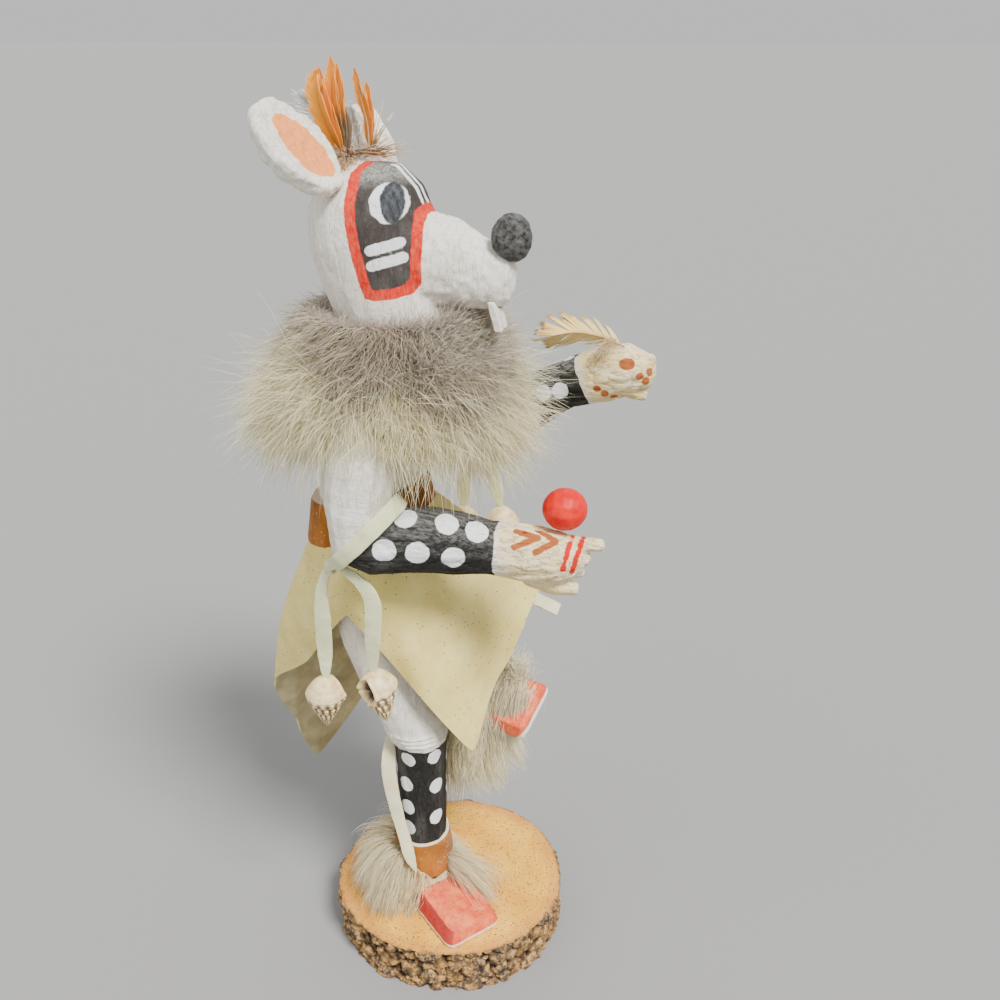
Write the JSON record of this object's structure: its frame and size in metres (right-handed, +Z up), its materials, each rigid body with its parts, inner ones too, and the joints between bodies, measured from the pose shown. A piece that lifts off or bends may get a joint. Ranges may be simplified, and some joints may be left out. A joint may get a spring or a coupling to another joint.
{
  "type": "kachina doll",
  "caption": "Carved and painted wooden dancer doll in a mouse mask, with fur ruff, suede kilt, feathers and shells, standing on a branch slice.",
  "frame": {"origin": "centre of the branch slice's underside, on the surface it stands on", "axes": "+Z up; the figure faces -Y; its own left is +X"},
  "size_m": [0.0915, 0.116, 0.2722],
  "materials": {
    "slice_wood": "sawn and lightly oiled, rough bark round the rim",
    "painted_wood": "matte white paint over carved wood, grain showing",
    "red_paint": "matte red paint over wood",
    "mask_paint": "matte white paint over carved wood",
    "black_paint": "rough black paint over wood",
    "down": "loose down and hair",
    "orange_feather": "soft barbs, a little sheen",
    "straw_feather": "soft barbs",
    "bead_glass": "smooth, softly polished",
    "rabbit_fur": "long soft fur",
    "brown_suede": "brushed suede",
    "cream_suede": "soft brushed suede with a natural cut edge",
    "thong_leather": "plain matte thong",
    "sea_shell": "natural shell, satin"
  },
  "bodies": {
    "root": {"tree_slice_base": "slice_wood", "carved_body": "painted_wood", "right_arm": "painted_wood", "left_arm": "painted_wood", "right_moccasin": "red_paint", "left_moccasin": "red_paint", "masked_head": "mask_paint", "right_ear": "mask_paint", "left_ear": "mask_paint", "right_tooth": "mask_paint", "left_tooth": "mask_paint", "nose_tip": "black_paint", "crest_down": "down", "crest_feather_tall": "orange_feather", "crest_feather_short": "orange_feather", "hand_feather": "straw_feather", "red_bead": "bead_glass", "fur_ruff": "rabbit_fur", "waist_belt": "brown_suede", "suede_kilt": "cream_suede", "right_elbow_thong": "thong_leather", "left_elbow_thong": "thong_leather", "right_outer_shell": "sea_shell", "right_inner_shell": "sea_shell", "left_outer_shell": "sea_shell", "left_inner_shell": "sea_shell", "right_knee_tie": "thong_leather", "left_knee_tie": "thong_leather", "right_ankle_band": "brown_suede", "left_ankle_band": "brown_suede", "right_ankle_fur": "rabbit_fur", "left_ankle_fur": "rabbit_fur"}
  },
  "joints": []
}
